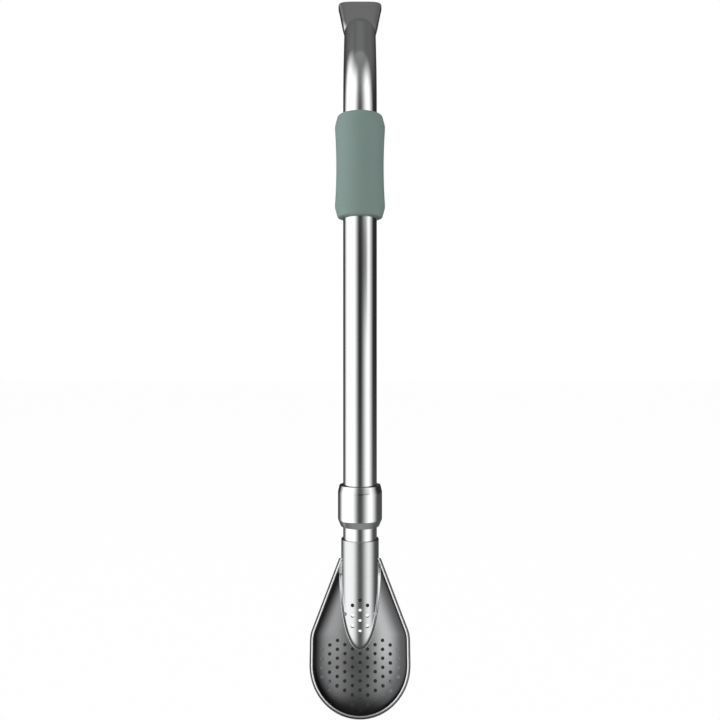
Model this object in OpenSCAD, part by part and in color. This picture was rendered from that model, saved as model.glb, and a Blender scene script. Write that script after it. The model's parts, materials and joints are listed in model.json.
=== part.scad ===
// Spoon bombilla: a bent drinking straw with a soft grip and a spoon strainer held by a screw collar.
// Millimetres, +Z up along the straight tube, +X across the spoon, -Y towards the open face of the spoon.
// The origin is on the tube's axis, halfway along the bare stretch between the grip and the collar.

/* [Straw] */
// Outside diameter of the straw tube
tube_d = 9; // [8:0.1:11]
// Wall of the straw tube
tube_wall = 0.5; // [0.4:0.05:0.8]
// Bare tube between the grip and the collar
free_len = 71.2; // [50:0.1:120]
// Radius of the bend, on the tube's axis
bend_r = 25; // [18:0.5:40]
// How far the bend turns from upright
bend_angle = 38; // [15:1:60]
// Bare tube between the grip and the start of the bend
bend_lead = 1.2; // [0:0.1:10]

/* [Mouthpiece] */
// Length of the mouthpiece's round shank, between the bend and the flat
shank_len = 10; // [2:0.5:30]
// Length of the flattened part
mouth_len = 20.1; // [14:0.1:32]
// How far the lip spreads past the tube on each side
mouth_spread = 1.95; // [0.5:0.05:4]
// Thickness of the flat lip
mouth_t = 3.8; // [3:0.1:6]
// Wall of the mouthpiece
mouth_wall = 0.6; // [0.4:0.05:0.9]

/* [Grip] */
// Length of the grip sleeve
grip_len = 27.2; // [15:0.1:50]
// Sleeve thickness at its two swells
grip_swell = 2.235; // [1.5:0.05:4]
// How much the waist is drawn in below the swells
grip_waist = 0.395; // [0:0.05:1]
// Height of the tapered ends
grip_taper = 3.7; // [1.5:0.1:6]
// Sleeve thickness at the ends
grip_end = 1.45; // [1:0.05:1.8]
// Rounding of the end edges
grip_edge = 0.45; // [0.2:0.05:0.7]

/* [Screw collar] */
// Length of the collar
collar_len = 11; // [10:0.1:20]
// How far the collar stands out from the tube
collar_over = 1.4; // [1.1:0.05:3]
// How far its top edge stands out from the tube
collar_top_over = 0.975; // [0.85:0.025:1.05]
// How far its bottom edge stands out from the tube
collar_foot_over = 0.6; // [0.4:0.05:1]
// Height of the top chamfer
collar_top_cham = 1.8; // [0.3:0.1:2.5]
// Height of the bottom chamfer
collar_foot_cham = 1.9; // [0.3:0.1:2.5]
// Thickness of the inner lip that carries the neck's flange
collar_lip = 1.6; // [1:0.1:2.5]
// Wall left at the collar's top edge
collar_edge = 0.25; // [0.2:0.025:0.35]
// Rise of the screw thread in one turn
thread_pitch = 1; // [0.8:0.05:1.2]
// Height of the thread's ridge
thread_depth = 0.3; // [0.2:0.02:0.34]
// Turns of the thread that engage
thread_turns = 4; // [3:1:4]

/* [Filter neck and seal] */
// Thickness of the flat seal
seal_t = 0.8; // [0.5:0.1:1.5]
// Thickness of the neck's flange
flange_t = 1.2; // [0.8:0.1:2]
// Bare neck between the collar and the ferrule
neck_gap = 3.3; // [1:0.1:10]
// How deep the neck sits in the ferrule
neck_seat = 7; // [4:0.1:8.5]
// Wall of the ferrule
ferrule_wall = 0.5; // [0.4:0.05:1]
// Length of the ferrule
ferrule_len = 9.1; // [9:0.1:14]

/* [Spoon] */
// Lean of the spoon's face, its foot towards the front
bowl_tilt = 16.5; // [14:0.5:20]
// Length of the tongue below the ferrule
tongue_len = 19; // [16:0.1:22]
// Wall of the tongue
tongue_wall = 0.6; // [0.4:0.05:0.8]
// How far the tongue's foot spreads onto the dish
foot_spread = 0.75; // [0.4:0.05:1.2]
// Thickness of the tongue's foot
foot_t = 0.5; // [0.3:0.05:0.8]
// Half width of the spoon, and radius of its round end
bowl_r = 12.8; // [11:0.1:16]
// Centre of the round end below the tongue's tip
bowl_drop = 2.9; // [1:0.1:8]
// Straight length of the spoon's sides
side_len = 7.1; // [3:0.1:14]
// Length of the shoulders along the spoon
flare_len = 18.9; // [17:0.1:23]
// Space between the ferrule and the back shell's walls at the top of the shoulders
rim_over = 0.05; // [0.02:0.01:0.3]
// Depth of the dish from rim to floor
dish_depth = 5.5; // [4:0.1:7]
// Rounding between the dish's floor and its wall
floor_round = 3.7; // [2:0.1:3.8]
// Straight land below the rim
rim_land = 0.3; // [0.1:0.05:0.8]
// Thickness of the pressed sheets
sheet_t = 0.4; // [0.3:0.05:0.5]
// Space between the dish and the back shell at the round end
chamber_foot = 1.2; // [0.6:0.1:2]

/* [Perforation] */
// Diameter of the dish's holes
dish_hole_d = 0.9; // [0.6:0.05:1.2]
// Diameter of the tongue's holes
tongue_hole_d = 0.95; // [0.6:0.05:1.2]
// Distance between hole columns
hole_pitch_u = 1.96; // [1.6:0.02:2.6]
// Distance between holes in a column of the dish
hole_pitch_v = 2.18; // [1.8:0.02:3]
// Distance between holes in a column of the tongue
tongue_pitch_v = 2.6; // [2:0.05:3.5]
// First hole of the middle column below the tongue's tip
hole_start = 0.8; // [0.8:0.05:2]
// Bare margin between the holes and the outer rim
hole_margin = 1.7; // [1.5:0.05:4]
// First hole of the tongue above its tip
tongue_hole_start = 4.7; // [4:0.05:6]

/* [Fits] */
// Clearance between pieces that turn or slide
running_gap = 0.05; // [0.03:0.01:0.1]
// Clearance between pieces that are brazed or stretched on
braze_gap = 0.02; // [0.01:0.01:0.05]

/* [Hidden] */
$fn = 96;
hole_sides = 24;
// How far cuts run past a face: just past it, well past it, and past the whole spoon
eps = 0.01;
past = 1;
far = 60;

steel = "#b9bcbe";
dark_steel = "#8e9294";
sage = "#7c9488";
seal_grey = "#5c605f";

// Heights along the tube, and where its bend ends
grip_z0 = free_len / 2;
grip_z1 = grip_z0 + grip_len;
bend_z = grip_z1 + bend_lead;
bend_top = bend_z + bend_r * sin(bend_angle);
bend_y = bend_r * (1 - cos(bend_angle));
collar_z1 = -free_len / 2;
collar_z0 = collar_z1 - collar_len;
lip_z = collar_z0 + collar_lip;
flange_z0 = lip_z + running_gap;
flange_z1 = flange_z0 + flange_t;
tube_z0 = flange_z1 + seal_t;
ferrule_z1 = collar_z0 - neck_gap;
ferrule_z0 = ferrule_z1 - ferrule_len;
neck_z0 = ferrule_z1 - neck_seat;
tip_z = ferrule_z0 - tongue_len;

// Radii about the tube's axis
tube_r = tube_d / 2;
bore_r = tube_r - tube_wall;
collar_r = tube_r + collar_over;
thread_root = tube_r + collar_top_over - collar_edge;
bush_crest = thread_root - running_gap;
bush_root = bush_crest - thread_depth;
collar_crest = thread_root - thread_depth;
flange_r = collar_crest - running_gap;
lip_r = tube_r + running_gap;
ferrule_in = tube_r + braze_gap;
ferrule_r = ferrule_in + ferrule_wall;
tongue_in = ferrule_r - tongue_wall;

// Thread ridge: its widths, how deep its root is sunk, the share of a turn where it fades, steps in a turn
ridge_base = thread_pitch / 2;
ridge_top = thread_pitch / 4;
ridge_root = 0.1;
ridge_fade = 0.25;
ridge_steps = 30;
// The collar's ridge lies midway between the turns of the bush's ridge, and the shoulder is a turn above it
bush_ridge_z = tube_z0 + ridge_base;
collar_ridge_z = bush_ridge_z + thread_pitch / 2;
bush_shoulder_z = bush_ridge_z + (thread_turns + 1) * thread_pitch;
bush_recess = 0.3;
bush_z1 = collar_z1 - bush_recess;

// Spoon, in its own leaning frame: u across, v up along the face, w out of the face, origin at the tongue's
// tip. The rim's half width at the top leaves room for the back shell's wall beside the ferrule.
top_half = ferrule_r + rim_over + sheet_t / cos(atan((bowl_r - ferrule_r) / flare_len));
flare_angle = atan((bowl_r - top_half) / flare_len);
sheets = 2 * sheet_t + braze_gap;
core_least = 0.3;
floor_r = min(floor_round, dish_depth - rim_land, (top_half - core_least) * cos(flare_angle) - sheets);
dish_out = floor_r + sheet_t;
back_in = dish_out + braze_gap;
back_out = back_in + sheet_t;
core_r = bowl_r - back_out;
corner_v = side_len - bowl_drop;
bowl_top = corner_v + flare_len;
core_corner = corner_v - back_out * tan(flare_angle / 2);
core_top = top_half - back_out / cos(flare_angle);
// The back shell's inner floor runs along the ferrule's back, from its top down to the ferrule's lower end,
// and from there to the foot of the spoon
socket_v = tongue_len * cos(bowl_tilt) + (2 * ferrule_r + braze_gap) * sin(bowl_tilt) - past;
foot_v = -bowl_drop - core_r;
foot_w = -sheet_t - chamber_foot;
function socket_floor(v) = v * tan(bowl_tilt) - (2 * ferrule_r + braze_gap) / cos(bowl_tilt);
function back_floor(v) = v > socket_v
    ? socket_floor(v)
    : foot_w + (socket_floor(socket_v) - foot_w) * (v - foot_v) / (socket_v - foot_v);

// Steps of the faceted shapes
end_steps = 9;
pan_steps = 6;
mouth_rings = 10;
mouth_sides = 48;
waist_steps = 16;
edge_steps = 4;

// Rows of holes: the tongue's middle column, the rows of it that the back shell repeats, and its edge holes
tongue_rows = 4;
through_rows = 3;
edge_row = 1.65;
dish_columns = 5;
peak_column = 3;
dish_rows = 9;

// Points on an arc of radius r about c
function arc(r, c, from, to, steps) =
    [for (i = [0:steps]) let (a = from + (to - from) * i / steps) [c.x + r * cos(a), c.y + r * sin(a)]];

// Rounded corner of a section, of radius r, whose lowest point is at the height low
function corner(r, low, from, to) = [for (p = arc(r, [0, low + r], from, to, pan_steps)) [p.x, p.y, 1]];

// Section of a pressed sheet at its edge: rounded corner and upright wall, outside first, floor at no height.
// The last number of a point is 1 where it goes up and down with the floor, and 0 at the rim.
function sheet_section(r_in, r_out, top) = concat(
    corner(r_out, r_in - r_out, -90, 0), [[r_out, top, 0], [r_in, top, 0]], corner(r_in, 0, 0, -90));

// Section of everything in front of such a sheet, whose floor is at the height low
function fill_section(r, low, top) = concat(corner(r, low, -90, 0), [[r, top, 0]]);

// Stations round the edge of the pan's flat floor, each a point and the way outwards at its mitre. The first
// ones are at the places v, given in tops, on the right shoulder.
function right_stations(tops) = concat(
    [for (v = tops) [[core_top + (bowl_top - v) * tan(flare_angle), v], [1 / cos(flare_angle), 0]]],
    [[[core_r, core_corner], [1, tan(flare_angle / 2)]]],
    [for (i = [0:end_steps]) let (a = -90 * i / end_steps)
        [[core_r * cos(a), core_r * sin(a) - bowl_drop], [cos(a), sin(a)]]]);
function all_stations(right) = concat(right, [for (i = [len(right) - 2:-1:0])
    let (s = right[i]) [[-s[0].x, s[0].y], [-s[1].x, s[1].y]]]);

module annulus(r_out, r_in) {
    difference() {
        circle(r_out);
        circle(r_in);
    }
}

module tube(r_out, r_in, z0, z1) {
    translate([0, 0, z0]) linear_extrude(z1 - z0) annulus(r_out, r_in);
}

// Screw ridge along a helix, its root sunk into the wall at radius r, side 1 outwards and -1 inwards
module screw_ridge(r, side, z, turns) {
    steps = turns * ridge_steps;
    fade = ridge_fade * ridge_steps;
    root = r - side * ridge_root;
    top = ridge_top / 2;
    base = ridge_base / 2;
    points = [for (i = [0:steps])
        let (a = 360 * i / ridge_steps,
             h = z + thread_pitch * i / ridge_steps,
             grow = min(1, (min(i, steps - i) + 1) / fade),
             lift = r + side * thread_depth * grow)
        for (q = [[root, -base], [lift, -top], [lift, top], [root, base]])
        [q[0] * cos(a), q[0] * sin(a), h + q[1]]];
    sides = [for (i = [0:steps - 1], j = [0:3])
        let (a = 4 * i + j, b = 4 * i + (j + 1) % 4)
        each side > 0 ? [[a, b, b + 4], [a, b + 4, a + 4]] : [[a, b + 4, b], [a, a + 4, b + 4]]];
    last = 4 * steps;
    ends = side > 0
        ? [[0, 2, 1], [0, 3, 2], [last, last + 1, last + 2], [last, last + 2, last + 3]]
        : [[0, 1, 2], [0, 2, 3], [last, last + 2, last + 1], [last, last + 3, last + 2]];
    polyhedron(points, concat(sides, ends));
}

// Puts children, drawn in the spoon's frame, into place
module on_spoon() {
    translate([0, -ferrule_r, tip_z]) rotate([90 - bowl_tilt, 0, 0]) children();
}

// Pressed pan: the section is carried round the stations, and closed by two flat faces and the open end.
// Its floor is at the height that floor_at gives for a place v along the spoon.
module pan(section, tops = [bowl_top], floor_at = function (v) 0) {
    stations = all_stations(right_stations(tops));
    n = len(stations);
    m = len(section);
    points = [for (s = stations, q = section)
        let (v = s[0].y + q[0] * s[1].y)
        [s[0].x + q[0] * s[1].x, v, q[1] + q[2] * floor_at(v)]];
    skin = [for (j = [0:n - 2], i = [0:m - 2])
        [j * m + i, (j + 1) * m + i, (j + 1) * m + i + 1, j * m + i + 1]];
    bands = len(tops) - 1;
    floors = concat(
        [for (t = [0:1:bands - 1]) [t, t + 1, n - 2 - t, n - 1 - t]],
        [[for (j = [bands:n - 1 - bands]) j]]);
    under = [for (f = floors) [for (i = [len(f) - 1:-1:0]) f[i] * m]];
    over = [for (f = floors) [for (j = f) j * m + m - 1]];
    far_end = (n - 1) * m;
    rungs = [for (i = [0:1:m / 2 - 2]) [i, i + 1, m - 2 - i, m - 1 - i]];
    end = concat(rungs,
        [for (r = rungs) [for (k = [3:-1:0]) far_end + r[k]]],
        [[0, m - 1, far_end + m - 1, far_end]]);
    polyhedron(points, concat(skin, under, over, end));
}

// Drills a hole along w at [u, v]
module drill(spot, d, from, to) {
    translate([spot[0], spot[1], from]) cylinder(d = d, h = to - from, $fn = hole_sides);
}

// The dish's holes fill the floor below two peaks, in columns that stand half a pitch apart
dish_spots = [for (i = [-dish_columns:dish_columns], k = [0:dish_rows])
    let (u = i * hole_pitch_u,
         peak = (peak_column - abs(abs(i) - peak_column)) * hole_pitch_v / 2,
         v = peak - hole_start - k * hole_pitch_v)
    if (norm([u, min(0, v + bowl_drop)]) < bowl_r - hole_margin) [u, v]];

// The tongue's holes stand in a middle column and two short ones half a pitch higher
function tongue_spots(rows) =
    [for (i = [-1:1], k = [0:rows - 1 - abs(i)])
        [i * hole_pitch_u, tongue_hole_start + (k + abs(i) / 2) * tongue_pitch_v]];

// Two more holes cut the edges of the tongue
edge_spots = [for (side = [-2, 2]) [side * hole_pitch_u, tongue_hole_start + edge_row * tongue_pitch_v]];

// Solid rod of radius r along the straw, longer by extra at its lower end and at the end of the bend
module bent_rod(r, extra) {
    translate([0, 0, tube_z0 - extra]) cylinder(r = r, h = bend_z - tube_z0 + extra);
    translate([0, bend_r, bend_z]) rotate([90, 0, -90]) rotate_extrude(angle = bend_angle + extra)
        translate([bend_r, 0]) circle(r);
}

module straw_tube() color(steel) difference() {
    bent_rod(tube_r, 0);
    bent_rod(bore_r, past);
}

// Ring of the mouthpiece at a share t of its length, from round at the tube to a rounded slot at the lip
function mouth_ring(t, inset) =
    let (a = tube_r + mouth_spread * t - inset,
         b = tube_r + (mouth_t / 2 - tube_r) * t - inset,
         power = 1 / (1 + t))
    [for (j = [0:mouth_sides - 1])
        let (c = cos(360 * j / mouth_sides), s = sin(360 * j / mouth_sides))
        [a * sign(c) * pow(abs(c), power), b * sign(s) * pow(abs(s), power), mouth_len * t]];

// The mouthpiece is a skin between two lists of rings, from the round end of the shank to the lip
module mouthpiece() {
    shares = [for (i = [0:mouth_rings]) i / mouth_rings];
    shank = [0, 0, shank_len];
    outer = concat([for (p = mouth_ring(0, 0)) p - shank],
                   [for (t = shares) each mouth_ring(t, 0)]);
    inner = concat([for (p = mouth_ring(0, tube_wall)) p - shank],
                   [for (t = shares) each mouth_ring(t, tube_wall + (mouth_wall - tube_wall) * t)]);
    count = len(outer);
    last = count - mouth_sides;
    skin = [for (i = [0:mouth_sides:last - 1], j = [0:mouth_sides - 1])
        let (a = i + j, b = i + (j + 1) % mouth_sides, c = a + mouth_sides, d = b + mouth_sides)
        each [[a, c, d], [a, d, b], [count + a, count + d, count + c], [count + a, count + b, count + d]]];
    ends = [for (j = [0:mouth_sides - 1])
        let (k = (j + 1) % mouth_sides)
        each [[j, k, count + k], [j, count + k, count + j],
              [last + j, count + last + k, last + k], [last + j, count + last + j, count + last + k]]];
    color(steel) translate([0, bend_y, bend_top]) rotate([-bend_angle, 0, 0]) translate(shank)
        polyhedron(concat(outer, inner), concat(skin, ends));
}

module grip_sleeve() {
    mid = grip_len / 2;
    half = mid - grip_taper;
    swell = tube_r + grip_swell;
    end = tube_r + grip_end;
    inside = tube_r + braze_gap;
    waist = [for (i = [-waist_steps:waist_steps])
        let (t = i / waist_steps) [swell - grip_waist * (1 - t * t), mid + half * t]];
    foot = arc(grip_edge, [end - grip_edge, grip_edge], -90, 0, edge_steps);
    top = arc(grip_edge, [end - grip_edge, grip_len - grip_edge], 0, 90, edge_steps);
    color(sage) translate([0, 0, grip_z0]) rotate_extrude()
        polygon(concat([[inside, 0]], foot, waist, top, [[inside, grip_len]]));
}

module thread_bush() color(dark_steel) {
    tube(bush_root, tube_r + braze_gap, tube_z0, bush_shoulder_z);
    tube(bush_crest, tube_r + braze_gap, bush_shoulder_z, bush_z1);
    screw_ridge(bush_root, 1, bush_ridge_z, thread_turns);
}

module screw_collar() color(steel) {
    rotate_extrude() polygon([
        [lip_r, collar_z0], [tube_r + collar_foot_over, collar_z0],
        [collar_r, collar_z0 + collar_foot_cham], [collar_r, collar_z1 - collar_top_cham],
        [tube_r + collar_top_over, collar_z1], [thread_root, collar_z1],
        [thread_root, lip_z], [lip_r, lip_z]]);
    screw_ridge(thread_root, -1, collar_ridge_z, thread_turns - 1);
}

module seal_ring() color(seal_grey) {
    tube(flange_r, bore_r, flange_z1, tube_z0);
}

module filter_neck() color(steel) {
    tube(flange_r, bore_r, flange_z0, flange_z1);
    tube(tube_r, bore_r, neck_z0, flange_z0);
}

module ferrule() color(steel) {
    tube(ferrule_r, ferrule_in, ferrule_z0, ferrule_z1);
}

// Space taken by the ferrule, with its brazing gap
module ferrule_space() {
    translate([0, 0, ferrule_z0]) cylinder(r = ferrule_r + braze_gap, h = far);
}

// Channel inside the tongue, open to the ferrule
module tongue_channel() {
    translate([0, 0, tip_z - far / 2]) cylinder(r = tongue_in, h = ferrule_z0 - tip_z + far / 2);
}

module tongue() {
    seat = floor_r - braze_gap;
    foot_floor = function (v) braze_gap + foot_t;
    color(steel) difference() {
        union() {
            intersection() {
                translate([0, 0, tip_z - far / 2]) cylinder(r = ferrule_r, h = ferrule_z0 - tip_z + far / 2);
                on_spoon() pan(fill_section(seat, braze_gap, far / 2));
            }
            intersection() {
                translate([0, 0, tip_z - far / 2]) cylinder(r = ferrule_r + foot_spread, h = far);
                on_spoon() pan(sheet_section(seat - foot_t, seat, dish_depth), floor_at = foot_floor);
            }
        }
        tongue_channel();
        ferrule_space();
        on_spoon() for (spot = concat(tongue_spots(tongue_rows), edge_spots))
            drill(spot, tongue_hole_d, 0, far / 2);
    }
}

module dish() color(steel) {
    difference() {
        on_spoon() pan(sheet_section(floor_r, dish_out, dish_depth));
        ferrule_space();
        tongue_channel();
        on_spoon() for (spot = dish_spots) drill(spot, dish_hole_d, -sheet_t - eps, dish_depth);
    }
}

module back_shell() color(steel) {
    on_spoon() difference() {
        pan(sheet_section(back_in, back_out, dish_depth), [bowl_top, socket_v], function (v) back_floor(v));
        for (spot = tongue_spots(through_rows)) drill(spot, tongue_hole_d, -far / 2, -sheet_t - eps);
    }
}

straw_tube();
mouthpiece();
grip_sleeve();
thread_bush();
screw_collar();
seal_ring();
filter_neck();
ferrule();
tongue();
dish();
back_shell();
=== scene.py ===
# %% [markdown]
# # A bombilla, piece by piece
#
# A bombilla is a metal straw for drinking mate. A strainer at its foot keeps the leaf out, and here the
# strainer is a small perforated spoon that a screw collar holds on the tube. This lesson builds the look
# of each piece on the measured model: every piece is a smooth mesh at real size, made in millimetres and
# placed in the shared frame.

# %% Setting up
import json
from math import atan, cos, degrees, pi, radians, sin, sqrt, tan

import bpy
import numpy as np
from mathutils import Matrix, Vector
from mathutils.bvhtree import BVHTree


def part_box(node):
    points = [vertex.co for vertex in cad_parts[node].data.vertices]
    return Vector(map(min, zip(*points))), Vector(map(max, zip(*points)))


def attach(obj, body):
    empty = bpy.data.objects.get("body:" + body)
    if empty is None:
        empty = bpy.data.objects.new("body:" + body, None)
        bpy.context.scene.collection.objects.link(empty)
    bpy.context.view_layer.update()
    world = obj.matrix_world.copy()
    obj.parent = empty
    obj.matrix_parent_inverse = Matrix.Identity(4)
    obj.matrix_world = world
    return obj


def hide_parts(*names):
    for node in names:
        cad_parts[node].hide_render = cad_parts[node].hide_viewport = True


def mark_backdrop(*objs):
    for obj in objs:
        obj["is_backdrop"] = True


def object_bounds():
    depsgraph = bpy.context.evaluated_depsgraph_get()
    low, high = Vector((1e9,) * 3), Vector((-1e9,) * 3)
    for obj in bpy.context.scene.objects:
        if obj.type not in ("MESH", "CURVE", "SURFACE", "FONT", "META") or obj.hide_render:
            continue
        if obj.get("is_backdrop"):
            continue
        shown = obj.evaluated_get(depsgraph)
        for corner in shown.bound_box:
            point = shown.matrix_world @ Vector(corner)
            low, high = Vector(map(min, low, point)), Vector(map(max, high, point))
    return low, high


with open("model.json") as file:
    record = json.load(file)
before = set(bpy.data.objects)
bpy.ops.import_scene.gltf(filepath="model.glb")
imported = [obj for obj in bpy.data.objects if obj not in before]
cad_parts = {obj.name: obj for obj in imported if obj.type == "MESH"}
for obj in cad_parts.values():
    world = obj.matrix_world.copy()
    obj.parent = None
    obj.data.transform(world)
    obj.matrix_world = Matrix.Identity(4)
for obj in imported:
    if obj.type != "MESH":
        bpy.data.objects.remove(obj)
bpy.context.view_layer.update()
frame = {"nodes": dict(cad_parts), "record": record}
MM = 0.001


def box_mm(node):
    low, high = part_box(node)
    return np.array(low) / MM, np.array(high) / MM


print("pieces in the model:", len(frame["nodes"]))

# %% [markdown]
# ## Sizes
#
# The measured model already holds the lengths, so most sizes are read from its boxes. The few that a box
# doesn't show, such as wall thickness or the lean of the spoon, are the driving dimensions below. Lengths
# here are in millimetres.

# %% Sizes
tube_low, tube_high = box_mm("straw_tube")
collar_low, collar_high = box_mm("screw_collar")
bush_low, bush_high = box_mm("thread_bush")
grip_low, grip_high = box_mm("grip_sleeve")
seal_low, seal_high = box_mm("seal_ring")
neck_low, neck_high = box_mm("filter_neck")
ferrule_low, ferrule_high = box_mm("ferrule")
spoon_high = box_mm("back_shell")[1]
mouth_high = box_mm("mouthpiece")[1]

braze_gap = 0.02
running_gap = 0.05
tube_wall = 0.5
bend_lead = 1.2
tongue_wall = 0.6
tube_r = tube_high[0]
bore_r = tube_r - tube_wall
on_tube = tube_r + braze_gap
bend_r = 25.0
bend_angle = radians(38)
bend_z = grip_high[2] + bend_lead
ferrule_r = ferrule_high[0]
tongue_in = ferrule_r - tongue_wall
tongue_len = 19.0
tip_z = ferrule_low[2] - tongue_len
lean = radians(16.5)
bowl_r = spoon_high[0]
bowl_drop = 2.9
side_len = 7.1
flare_len = 18.9
corner_v = side_len - bowl_drop
bowl_top = corner_v + flare_len
dish_depth = 5.5
sheet = 0.4
rim_over = 0.05
rim_inset = 2 * sheet + braze_gap
shoulder_half = ferrule_r + rim_over + sheet / cos(atan((bowl_r - ferrule_r) / (bowl_top - corner_v)))
shoulder_tan = (bowl_r - shoulder_half) / (bowl_top - corner_v)
print("tube", round(2 * tube_r, 2), "mm, spoon", round(2 * bowl_r, 2), "mm wide")

# %% [markdown]
# ## Tools for shapes
#
# Turned and drawn metal is a section carried along a path, so one helper lofts a grid of points into a
# closed skin. Its normals come from the grid itself: each point leans towards its longer neighbours, so
# flats stay flat right up to the small rounded edges, which is what makes machined steel look machined.

# %% Tools for shapes


def put(name, mesh, node, material):
    """Makes a mesh into the piece that stands for a node, riding on that node's body."""
    piece = bpy.data.objects.new(name, mesh)
    bpy.context.scene.collection.objects.link(piece)
    mesh.materials.clear()
    mesh.materials.append(material)
    body = next(b for b, nodes in frame["record"]["behaviour"]["bodies"].items() if node in nodes)
    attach(piece, body)
    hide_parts(node)
    print(name, len(mesh.polygons), "faces")
    return piece


def outwards(points, faces):
    """Turns all faces of a closed skin to face outwards."""
    corners = np.array([(f[0], f[k], f[k + 1]) for f in faces for k in range(1, len(f) - 1)])
    a, b, c = (points[corners[:, k]] for k in range(3))
    inside_out = np.einsum("ij,ij->", a, np.cross(b, c)) < 0
    return [tuple(reversed(f)) for f in faces] if inside_out else faces


def skin(name, points, faces, normals=None):
    """Makes a smooth mesh from points in millimetres."""
    mesh = bpy.data.meshes.new(name)
    mesh.from_pydata((np.asarray(points) * MM).tolist(), [], faces)
    mesh.update()
    mesh.shade_smooth()
    if normals is not None:
        mesh.normals_split_custom_set_from_vertices(np.asarray(normals).tolist())
    return mesh


def loft(name, rows):
    """Closed skin through rings of points, joined from the last ring back to the first."""
    rows = np.asarray(rows, float)
    n, m = rows.shape[:2]
    along = np.roll(rows, -1, 0) - np.roll(rows, 1, 0)
    around = np.roll(rows, -1, 1) - np.roll(rows, 1, 1)
    normals = np.cross(around, along).reshape(-1, 3)
    normals /= np.linalg.norm(normals, axis=1, keepdims=True) + 1e-12
    faces = []
    for i in range(n):
        a, b = i * m, (i + 1) % n * m
        for j in range(m):
            k = (j + 1) % m
            faces.append((a + j, a + k, b + k, b + j))
    return skin(name, rows.reshape(-1, 3), faces, normals)


def eased(corners, steps=5):
    """Rounds the corners of a section, each given as (radius from the axis, height, rounding)."""
    made = []
    count = len(corners)
    for i, (r, z, ease) in enumerate(corners):
        here = np.array((r, z))
        back = np.array(corners[i - 1][:2]) - here
        ahead = np.array(corners[(i + 1) % count][:2]) - here
        if ease == 0:
            made.append(here)
            continue
        back /= np.linalg.norm(back)
        ahead /= np.linalg.norm(ahead)
        for k in range(steps + 1):
            t = k / steps
            made.append(here + ease * ((1 - t) ** 2 * back + t ** 2 * ahead))
    return made


def lathe(name, section, steps=144):
    """Turns a closed section, given counter-clockwise, round the tube's axis."""
    angles = np.linspace(0, 2 * pi, steps, endpoint=False)
    ring = np.stack((np.cos(angles), np.sin(angles)), 1)
    return loft(name, [np.column_stack((ring * r, np.full(steps, z))) for r, z in section])


def keep_normals(mesh, source):
    """Gives a cut mesh the normals of its uncut source, and leaves the cut faces flat."""
    source.calc_loop_triangles()
    corner = np.array([t.vertices[:] for t in source.loop_triangles])
    place = np.array([v.co[:] for v in source.vertices])
    lean_of = np.zeros((len(place), 3))
    for loop, normal in zip(source.loops, source.corner_normals):
        lean_of[loop.vertex_index] += normal.vector
    tree = BVHTree.FromPolygons(place.tolist(), corner.tolist())
    nudge, near, alike = 1e-6, 3e-6, 0.75
    made = []
    for face in mesh.polygons:
        for index in face.vertices:
            spot = mesh.vertices[index].co
            hit, _, tri, gap = tree.find_nearest(spot + face.normal * nudge)
            a, b, c = (place[k] for k in corner[tri])
            area = np.cross(b - a, c - a)
            size = max(np.dot(area, area), 1e-30)
            wa = np.dot(np.cross(c - b, np.array(hit) - b), area) / size
            wb = np.dot(np.cross(a - c, np.array(hit) - c), area) / size
            mix = Vector(wa * lean_of[corner[tri][0]] + wb * lean_of[corner[tri][1]]
                         + (1 - wa - wb) * lean_of[corner[tri][2]])
            mix.normalize()
            made.append(mix if gap < near and mix.dot(face.normal) > alike else face.normal.copy())
    mesh.shade_smooth()
    mesh.normals_split_custom_set(made)
    return mesh


# %% [markdown]
# ## Materials
#
# Polished steel is almost all reflection, so its colour hardly varies: what shows is a slight change of
# roughness along the drawn tube. The pressed spoon is satin and spreads its highlights. Its dish has
# painted shade, darker towards the wall and the end, as it looks in the picture, and a painted highlight
# on the trimmed rim. The shell's inside is painted dark as shade. Silicone is soft and matt, with a fine
# grain. A small class lets the shader maths be written as plain sums.

# %% Materials


class Wire:
    """A shader socket that can be used in sums."""

    def __init__(self, tree, socket=None):
        self.tree = tree
        self.socket = socket

    def node(self, kind, settings, values, out=0):
        made = self.tree.nodes.new(kind)
        for key, value in settings.items():
            setattr(made, key, value)
        for key, value in values.items():
            if isinstance(value, Wire):
                self.tree.links.new(value.socket, made.inputs[key])
            else:
                made.inputs[key].default_value = value
        return Wire(self.tree, made.outputs[out])

    def math(self, operation, *values):
        return self.node("ShaderNodeMath", {"operation": operation}, dict(enumerate(values)))

    def __add__(self, other):
        return self.math("ADD", self, other)

    def __radd__(self, other):
        return self.math("ADD", other, self)

    def __sub__(self, other):
        return self.math("SUBTRACT", self, other)

    def __rsub__(self, other):
        return self.math("SUBTRACT", other, self)

    def __mul__(self, other):
        return self.math("MULTIPLY", self, other)

    def __rmul__(self, other):
        return self.math("MULTIPLY", other, self)

    def step(self, start, end):
        """Goes softly from 0 at start to 1 at end."""
        return self.node("ShaderNodeMapRange", {"interpolation_type": "SMOOTHSTEP"},
                         {"Value": self, "From Min": start, "From Max": end})

    def window(self, start, end, soft):
        return self.step(start - soft, start + soft) * (1 - self.step(end - soft, end + soft))


def material(name):
    made = bpy.data.materials.new(name)
    made.use_nodes = True
    made.node_tree.nodes.clear()
    return made, Wire(made.node_tree)


def finish_with(wire, shader, kind="ShaderNodeOutputMaterial"):
    made = wire.tree.nodes.new(kind)
    wire.tree.links.new(shader.socket, made.inputs["Surface"])


def grain(wire, stretch, scale, detail=2.0):
    """Noise on the object's own coordinates, which stretch scales along each axis."""
    spot = wire.node("ShaderNodeTexCoord", {}, {}, out="Object")
    spot = wire.node("ShaderNodeVectorMath", {"operation": "MULTIPLY"}, {0: spot, 1: stretch})
    return wire.node("ShaderNodeTexNoise", {}, {"Vector": spot, "Scale": scale, "Detail": detail})


even = (1, 1, 1)
drawn = (1, 1, 0.02)
drawn_grain = 900.0
cloud_grain = 60.0
sheet_grain, sheet_spread = 700.0, 0.08


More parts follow.
